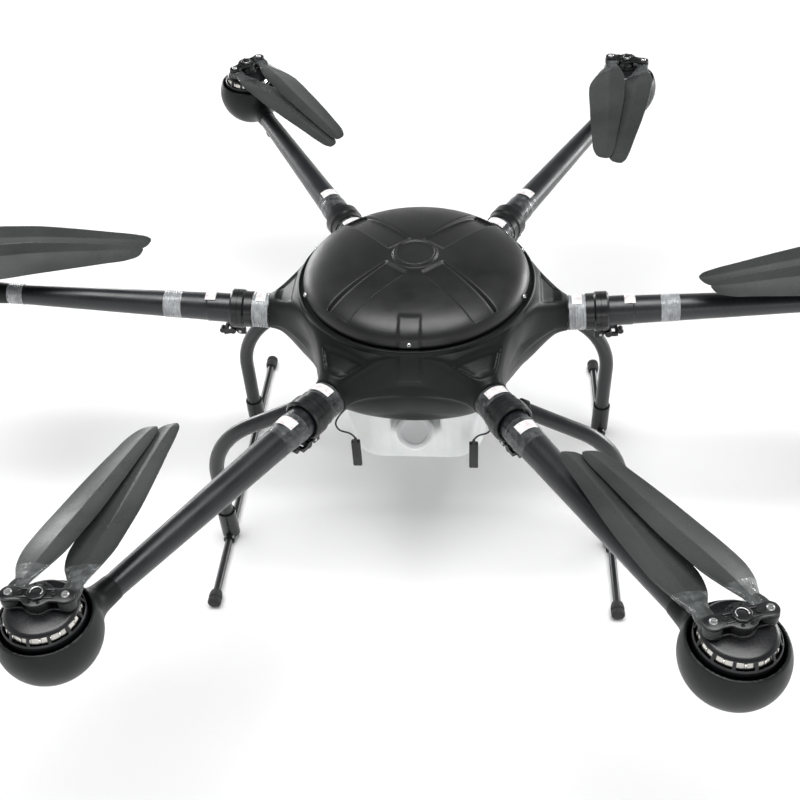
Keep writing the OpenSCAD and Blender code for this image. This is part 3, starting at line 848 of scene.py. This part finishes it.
def arm(name):
    space = arm_space(name)
    body = "arm_" + name
    end = MOTOR_X / MM - 56
    profile = [(16.6, 243), (19.0, 243), (19.4, 243.6)]
    profile += [(19.4, x) for x in (252, 262, 272, 280)]
    profile += [(19.2, 281), (18.7, 281.6), (18.6, 282)]
    profile += [(tube_radius(x), x) for x in np.linspace(290, end, 24)]
    profile += [(11, end), (11, end - 6), (16.6, 250), (16.6, 243)]
    add_piece("tube_" + name, *lathe_x(profile, 72), TUBE, body, ["arm_tube_" + name],
              "carbon_tube", space)
    sides = name in SIDE_ARMS
    # On the side arms the film bands use the denser film, whose pale colour is painted sheen.
    if sides:
        bands = joined(film(316, 340, tube_radius, 7), film(532, 553, tube_radius, 6))
        add_piece("film_" + name, *bands, FILM_DENSE_SHEEN, body, [], None, space)
    else:
        add_piece("film_" + name, *film(262, 300, lambda x: tube_radius(x) + 0.2, 3), FILM, body,
                  [], None, space)
    tilt = {"left": -10, "right": 8}.get(name, 0)
    near = 288 if name in REAR_ARMS else 270
    label = patch(lambda x: tube_radius(x) + 0.9, near, near + 14, tilt - 36, tilt + 36)
    add_piece("label_" + name, *label, LABEL, body, [], None, space)
    # On the side arms the stub film is the denser film with the painted sheen.
    stub = film(199, 220.5, lambda x: 22.7, 6 if sides else 2)
    add_piece("stub_film_" + name, *stub, FILM_DENSE_SHEEN if sides else FILM, "airframe", [], None, space)
    blank = patch(lambda x: 23.5, 203, 216, tilt - 34, tilt + 34)
    add_piece("stub_label_" + name, *blank, LABEL, "airframe", [], None, space)
    if name in REAR_ARMS:
        lamp_body = [(0, -8.5), (4, -8), (7, -5.5), (8.2, -1.5), (8.4, 3), (8.4, 9), (0, 9)]
        place = space @ Matrix.Translation((0.86 * MOTOR_X, 0, -17 * MM))
        add_piece("lamp_" + name, *lathe(rounded(lamp_body, 1.2), 40), POD, body, [],
                  "pod_plastic", place)


# ---- motors ----

def pod_field():
    def field(x, y, z):
        ball = np.sqrt(x * x + y * y + (z - 12) ** 2)
        outer = smooth_max(ball - 50, z - 36.5, 6)
        boss = smooth_max(np.hypot(y, z) - 13.9 - 2.0 * np.clip((x + 76) / 30, 0, 1), -78 - x, 1.2)
        boss = np.maximum(boss, x + 20)
        solid = smooth_min(outer, boss, 15)
        solid = smooth_max(solid, z - 36.5, 3)
        inner = np.maximum(ball - 44, -24 - z)
        mouth = np.maximum(np.hypot(x, y) - 42.6, 12 - z)
        hollow = np.minimum(inner, mouth)
        seat = np.maximum(np.hypot(x, y) - 20, z - 9.8)
        return smooth_min(smooth_max(solid, -hollow, 3), np.maximum(seat, ball - 48), 3)
    return field


def pods():
    step = 1.6
    shape = moulded(pod_field(), (-82, -55, -43), (55, 55, 40), step)
    mesh = make_mesh("pod", *shape, POD, None, 50)
    for name in ARMS:
        place_piece("pod_" + name, mesh, "arm_" + name, ["motor_pod_" + name],
                    motor_space(name))
        stator(name)


def stator(name):
    """The fixed half of the motor: base ring, mounting screws and bright windings."""
    space = motor_space(name)
    base = lathe(rounded([(0, 9.9), (40, 9.9), (40, 14.5), (37.5, 16.2), (30, 16.2), (30, 15),
                          (0, 15)], 0.8), 96)
    teeth = [lathe(rounded([(0, 17), (34.6, 17), (35.2, 19), (35.2, 38), (33.2, 43.5), (30, 45.6),
                            (0, 45.6)], 0.7), 96)]
    for k in range(24):
        coil = rounded([(28, -1.2), (35.5, -1.2), (35.5, 1.2), (28, 1.2)], 0.8, 3, True)
        teeth.append(moved(plate(coil, 30, 44, 0.8), at(turn=k * 15)))
    add_piece("stator_base_" + name, *base, BELL, "arm_" + name, [], "motor_alloy", space)
    add_piece("windings_" + name, *joined(*teeth), WINDING, "arm_" + name, [], None, space)
    screws = [moved(button_screw(2.2, 1.5), at(33 * math.cos(a), 33 * math.sin(a), 16))
              for a in np.radians((45, 135, 225, 315))]
    add_piece("stator_screws_" + name, *joined(*screws), STEEL, "arm_" + name, [], "steel", space)


def bell_shell():
    """The turning can: a plain band, a slanted shoulder with twelve windows, a domed top."""
    profile = rounded([(38.9, 18), (38.9, 37), (38.0, 38.4), (37.4, 38.7), (34.8, 45.3),
                       (34.2, 46.3), (31.5, 48.6), (22, 50.4), (15, 50.8), (0.5, 50.8)],
                      [0, .8, .4, .1, .1, .5, 3, 4, 2, 0], 3)
    cols = 144
    verts, faces = lathe(profile, cols)
    heights = [z for r, z in profile]
    open_rows = {i for i in range(len(profile) - 1) if heights[i] > 38.5 and heights[i + 1] < 45.5}
    kept = []
    for n, face in enumerate(faces):
        row, col = divmod(n, cols)
        if row in open_rows and col % 12 < 10:
            continue
        kept.append(face)
    return verts, kept


def clamp_outline(half, end_r, middle_r, steps=14):
    """A bar with round ends and a round middle, as a closed outline."""
    reach = half + end_r
    xs = np.concatenate([-half - end_r * np.cos(np.linspace(0, math.pi / 2, 7)),
                         np.linspace(-half + 1, half - 1, 2 * steps),
                         half + end_r * np.sin(np.linspace(0, math.pi / 2, 7))])
    top = []
    for x in xs:
        bar = math.sqrt(max(end_r ** 2 - max(abs(x) - half, 0) ** 2, 0)) - 0.9 * step_edge(
            half - 4 - abs(x), 6)
        middle = math.sqrt(max(middle_r ** 2 - x * x, 0))
        top.append((x, float(smooth_max(np.array(bar), np.array(middle), 2.0))
                    if abs(x) < reach - 0.5 else bar))
    lower = [(x, -y) for x, y in reversed(top[1:-1])]
    return top + lower


def ring_arc(radius, thick, z, start, end):
    turn = np.radians(np.linspace(start, end, 40))
    path = [(radius * math.cos(a), radius * math.sin(a), z) for a in turn]
    return sweep(path, thick, 12)


def rotor(name):
    space = rotor_space(name)
    body = "rotor_" + name
    hinge = HINGE_R / MM
    bell = add_piece("bell_" + name, *bell_shell(), BELL, body, ["rotor_" + name], "motor_alloy",
                     space, 40)
    thick = bell.modifiers.new("wall", "SOLIDIFY")
    thick.thickness = 1.6 * MM
    thick.offset = -1
    outline = clamp_outline(hinge, 8.4, 14.5)
    lower = plate(outline, 52, 55, 0.6)
    upper = plate(outline, 63.6, 66.8, 0.8)
    spacer = lathe(rounded([(0, 49.5), (14.5, 49.5), (14.5, 52.2), (12.5, 54), (12.5, 64),
                            (0, 64)], 0.6), 48)
    collar = lathe(rounded([(0, 66), (9.6, 66), (9.6, 68.6), (8.4, 69.4), (5.4, 69.4), (5.4, 67.6),
                            (0, 67.6)], 0.5), 8)
    ribs = []
    for s in (-1, 1):
        for y in (-4.6, 4.6):
            bar = rounded([(s * 12 - 4.4, y - 1), (s * 12 + 4.4, y - 1), (s * 12 + 4.4, y + 1),
                           (s * 12 - 4.4, y + 1)], 0.9, 3, True)
            ribs.append(plate(bar, 66.4, 68.2, 0.5))
        ribs.append(moved(lathe(rounded([(0, 66.5), (2.6, 66.5), (2.6, 68.4), (1.4, 68.4),
                                         (1.4, 67.4), (0, 67.4)], 0.3), 20), at(s * 15.5, 0)))
        for y in (-10.5, 10.5):
            ribs.append(moved(button_screw(1.9, 1.4), at(s * 4.5, y, 66.8)))
    add_piece("blade_clamp_" + name, *joined(lower, upper, spacer, collar, *ribs), ALLOY, body, [],
              "black_alloy", space)
    bright = [ring_arc(5.6, 0.6, 69.3, -30, 200)]
    bright.append(lathe(rounded([(0, 50), (3.9, 50), (3.9, 65.6), (3.2, 66.2), (0, 66.2)], 0.4), 32))
    for s in (-1, 1):
        bright.append(moved(button_screw(3.9, 2.6), at(s * hinge, 0, 66.8)))
        bright.append(moved(lathe([(0, 0), (2.45, 0), (2.45, 12), (0, 12)], 24),
                            at(s * hinge, 0, 53)))
        nut = lathe(rounded([(0, -2.6), (4.1, -2.6), (4.1, 0), (0, 0)], 0.4), 6)
        bright.append(moved(nut, at(s * hinge, 0, 52)))
    add_piece("clamp_steel_" + name, *joined(*bright), STEEL, body, [], "steel", space)


# ---- blades ----

BLADE_LEN = 265.0
SPAN = [0.03, 0.08, 0.16, 0.26, 0.4, 0.6, 0.8, 0.93, 0.985, 1.0]
CHORD = [17, 22, 45, 57, 55.5, 48, 37.5, 29, 16.5, 5]
LEAD = [8.5, 10, 18, 23, 23, 19, 13, 9, 5, 1.5]
ROOT_PITCH, TIP_PITCH, SAG = 22.0, 9.0, 11.0


def smooth_table(s, xs, ys):
    """A smooth curve through the table's points (monotone cubic)."""
    xs, ys = np.array(xs, float), np.array(ys, float)
    h = np.diff(xs)
    d = np.diff(ys) / h
    m = np.concatenate([[d[0]], np.where(d[:-1] * d[1:] > 0, (d[:-1] + d[1:]) / 2, 0), [d[-1]]])
    i = int(np.clip(np.searchsorted(xs, s) - 1, 0, len(h) - 1))
    t = (s - xs[i]) / h[i]
    return float((2 * t ** 3 - 3 * t * t + 1) * ys[i] + (t ** 3 - 2 * t * t + t) * h[i] * m[i]
                 + (3 * t * t - 2 * t ** 3) * ys[i + 1] + (t ** 3 - t * t) * h[i] * m[i + 1])


def blade_section():
    """Chord fraction and height: a flat nose facet, a crease at two fifths, a hollow tail."""
    nose = [(0, 0), (0.004, 0.010), (0.014, 0.019), (0.035, 0.029), (0.07, 0.038), (0.14, 0.048)]
    crease = [(0.24, 0.058), (0.34, 0.066), (0.385, 0.069), (0.40, 0.069), (0.42, 0.066)]
    tail = [(0.50, 0.052), (0.6, 0.037), (0.72, 0.023), (0.84, 0.013), (0.94, 0.007), (1, 0.004)]
    under = [(1, -0.004), (0.9, -0.012), (0.75, -0.022), (0.55, -0.031), (0.35, -0.036),
             (0.2, -0.034), (0.1, -0.028), (0.04, -0.019), (0.01, -0.010)]
    return nose + crease + tail + under


def blade_mesh(turn):
    section = blade_section()
    stations = np.concatenate([np.linspace(0.03, 0.16, 12), np.linspace(0.18, 0.92, 34),
                               1 - 0.07 * np.cos(np.linspace(0, math.pi / 2, 14))])
    rings = []
    for s in np.unique(np.round(stations, 5)):
        chord = max(smooth_table(s, SPAN, CHORD), 2)
        lead = smooth_table(s, SPAN, LEAD)
        pitch = math.radians(ROOT_PITCH + (TIP_PITCH - ROOT_PITCH) * s)
        root = max(0.0, 1 - s / 0.13)
        ring = []
        for c, h in section:
            round_h = math.copysign(math.sqrt(max(0.25 - (c - 0.5) ** 2, 0)), h) * 0.42
            height = (h * (1 - root) + round_h * root) * chord
            u = lead - c * chord
            ring.append((turn * (u * math.cos(pitch) - height * math.sin(pitch)), s * BLADE_LEN,
                         u * math.sin(pitch) + height * math.cos(pitch) - SAG * s * s))
        rings.append(ring)
    n = len(section)
    verts = [p for ring in rings for p in ring]
    verts.append(tuple(np.mean(rings[0], 0)))
    verts.append(tuple(np.mean(rings[-1], 0)))
    last = (len(rings) - 1) * n
    faces = grid_faces(len(rings), n)
    faces += [((j + 1) % n, j, len(verts) - 2) for j in range(n)]
    faces += [(last + j, last + (j + 1) % n, len(verts) - 1) for j in range(n)]
    return np.array(verts) * MM, faces


def sleeve_mesh(turn):
    """Crumpled clear film round a blade's root."""
    rng = np.random.default_rng(7)
    rings = []
    turns = np.arange(28) * 2 * math.pi / 28
    for s in np.linspace(0.036, 0.15, 16):
        chord = smooth_table(s, SPAN, CHORD)
        middle = smooth_table(s, SPAN, LEAD) - chord / 2
        pitch = math.radians(ROOT_PITCH)
        ring = []
        for a in turns:
            grow = rng.uniform(0.2, 1.8)
            u = middle + (chord / 2 + grow) * math.cos(a)
            h = (3.6 + grow) * math.sin(a)
            ring.append((turn * (u * math.cos(pitch) - h * math.sin(pitch)), s * BLADE_LEN,
                         u * math.sin(pitch) + h * math.cos(pitch)))
        rings.append(ring)
    return np.array(rings).reshape(-1, 3) * MM, grid_faces(len(rings), len(turns))


def blade(name, letter, side, turn):
    body = "blade_%s_%s" % (letter, name)
    open_angle = JOINTS["blade_%s_fold_%s" % (letter, name)]["range_deg"][1]
    space = rotor_space(name) @ at(side * HINGE_R / MM, 0, 59.25, side * (open_angle - 90))
    eye = lathe(rounded([(2.7, -3.9), (8.8, -3.9), (8.8, 3.9), (2.7, 3.9), (2.7, -3.9)],
                        [0, .8, .8, 0, 0]), 48)
    web = plate(rounded([(-8.3, 1), (8.3, 1), (8.6, 14), (6, 22), (-6, 22), (-8.6, 14)], 3, 4, True),
                -3.4, 3.4, 1.0)
    add_piece("blade_%s_skin_%s" % (letter, name), *joined(blade_mesh(turn), eye, web), BLADE, body,
              [body], "blade_carbon", space, 60)
    add_piece("sleeve_%s_%s" % (letter, name), *sleeve_mesh(turn), FILM, body, [], None, space, 180)


def propellers():
    for name in ARMS:
        rotor(name)
        way = 1 if name in ("right", "rear_left", "front_left") else -1
        blade(name, "a", 1, way)
        blade(name, "b", -1, way)


# ---- tank ----

TANK_W, TANK_D, TANK_H, TANK_Y = 195.0, 208.0, 92.0, -9.0
TANK_R = 46.0
NECK = Matrix.Translation(Vector((0, -0.110, -0.101))) @ Matrix.Rotation(math.radians(45), 4, "X")


def tank_field():
    top = FLOOR_Z - 3.5
    low = top - TANK_H
    tilt = math.radians(45)

    def field(x, y, z):
        v = y - TANK_Y
        taper = 1 + 0.08 * (z - top) / TANK_H
        hx, hy = TANK_W / 2 * taper - TANK_R, TANK_D / 2 * taper - TANK_R
        ax, ay = np.abs(x) - hx, np.abs(v) - hy
        side = (np.hypot(np.maximum(ax, 0), np.maximum(ay, 0)) + np.minimum(np.maximum(ax, ay), 0)
                - TANK_R)
        front = np.clip((np.abs(v) - hy) / 20, 0, 1)
        wall = np.clip((np.abs(x) - hx) / 20, 0, 1)
        ripple = (front * np.cos(x * 2 * math.pi / 17.2) + wall * np.cos(v * 2 * math.pi / 17.2))
        fade = np.clip((z - low - 10) / 10, 0, 1) * np.clip((top - 8 - z) / 8, 0, 1)
        side = side + 0.9 * ripple * fade
        body = smooth_max(side, np.abs(z - (top + low) / 2) - TANK_H / 2, 9)
        ny, nz = y + 110, z + 101
        up = -ny * math.sin(tilt) + nz * math.cos(tilt)
        along = ny * math.cos(tilt) + nz * math.sin(tilt)
        recess = np.maximum(np.abs(x) - 32, -up)
        body = smooth_max(body, -recess, 5)
        neck = np.maximum(np.hypot(x, along) - 20.6, np.abs(up - 3) - 7)
        body = smooth_min(body, neck, 2)
        bore = np.maximum(np.hypot(x, along) - 17, -2 - up)
        return np.maximum(body, -bore)
    return field


def tank():
    step = 2.2
    shape = moulded(tank_field(), (-104, -122, -164), (104, 104, -58), step)
    add_piece("tank_moulding", *shape, TANK, "airframe", ["tank"], "tank_plastic", HUB_SPACE, 50)
    profile = rounded([(21.1, 0.6), (24.2, 0.6), (24.8, 1.4), (25, 13.5), (24, 16.4), (21.5, 17.8),
                       (17, 17.9), (16.2, 16.6), (0, 16.4)],
                      [0, .5, .5, 1, 1.4, 1, .6, .6, 0], 3)
    profile += [(0, 12), (21.1, 12), (21.1, 0.6)]

    def grip(rows, turn):
        side = (rows[:, 0] > 23.5)[:, None] & (rows[:, 1] < 15)[:, None]
        return np.where(side, 1 - 0.028 * (0.5 + 0.5 * np.cos(turn * 36)) ** 2, 1.0)
    add_piece("tank_cap_moulding", *lathe(profile, 288, grip), CAP, "tank_cap", ["tank_cap"],
              "cap_plastic", HUB_SPACE @ NECK, 40)
    rails = [rounded([(s * 50 - 8, -60), (s * 50 + 8, -60), (s * 50 + 8, 40), (s * 50 - 8, 40)], 3,
                     3, True) for s in (-1, 1)]
    add_piece("tank_rails", *joined(*[plate(r, FLOOR_Z - 4.2, FLOOR_Z, 0.6) for r in rails]), CASE,
              "airframe", [], "case_grey", HUB_SPACE)


# ---- landing gear ----

LEG_BEND, LEG_SLOPE, LEG_Z = 105.0, 27.0, 152.0


def leg_line(side, y, root):
    """The bent leg from the hull down to its clamp, relative to the crossing point."""
    skid_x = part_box("skid_tubes")[1].x / MM - 5
    skid_z = (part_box("skid_tubes")[0].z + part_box("skid_tubes")[1].z) / 2 / MM - HUB.z / MM
    cx, cz = skid_x - LEG_BEND, -LEG_Z
    first = math.radians(90 - LEG_SLOPE)
    start = (cx + LEG_BEND * math.cos(first), cz + LEG_BEND * math.sin(first))
    path = [(start[0] - root * math.sin(first), start[1] + root * math.cos(first))]
    path += [(start[0] - root * k * math.sin(first), start[1] + root * k * math.cos(first))
             for k in (0.66, 0.33)]
    path += [(cx + LEG_BEND * math.cos(b), cz + LEG_BEND * math.sin(b))
             for b in np.linspace(first, 0, 22)]
    path += [(skid_x, z) for z in np.linspace(cz - 12, skid_z + 7, 6)]
    return [(side * x, y, z) for x, z in path]


def leg_socket(side, y, start):
    """The black ferrule where a leg enters the hull."""
    line = leg_line(side, y, start)
    a, b = np.array(line[1]), np.array(line[0])
    way = (b - a) / np.linalg.norm(b - a)
    path = [b - way * 2, b - way * 1, b + way * 8, b + way * 9]
    return sweep(path, [11.6, 12.6, 12.6, 12.0], 40)


def landing_gear():
    legs = []
    for side in (-1, 1):
        for y, root in ((-148, 104), (79, 80)):
            legs.append(sweep(leg_line(side, y, root), 10, 40))
    add_piece("legs", *joined(*legs), LEG, "airframe", ["landing_legs"], "carbon_tube", HUB_SPACE)
    low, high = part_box("skid_tubes")
    caps = []
    for x in (low.x + 0.005, high.x - 0.005):
        for y, way in ((low.y, 1), (high.y, -1)):
            profile = rounded([(0, 4), (5, 4), (8.8, 2), (9, -4), (7.7, -5), (7.7, -6), (9, -7),
                               (8.8, -13), (7.2, -18), (5.2, -18)],
                              [0, 2.5, 2.5, .7, .5, .5, .7, 2.5, 1.2, 0], 4)
            place = (Matrix.Translation((x, y, (low.z + high.z) / 2))
                     @ Matrix.Rotation(way * math.pi / 2, 4, "X"))
            caps.append(moved(lathe(profile, 40), place))
    add_piece("skid_end_caps", *joined(*caps), RUBBER, "airframe", ["skid_caps"], "rubber")


hull()
canopy()
for name in ARMS:
    arm(name)
pods()
propellers()
tank()
landing_gear()
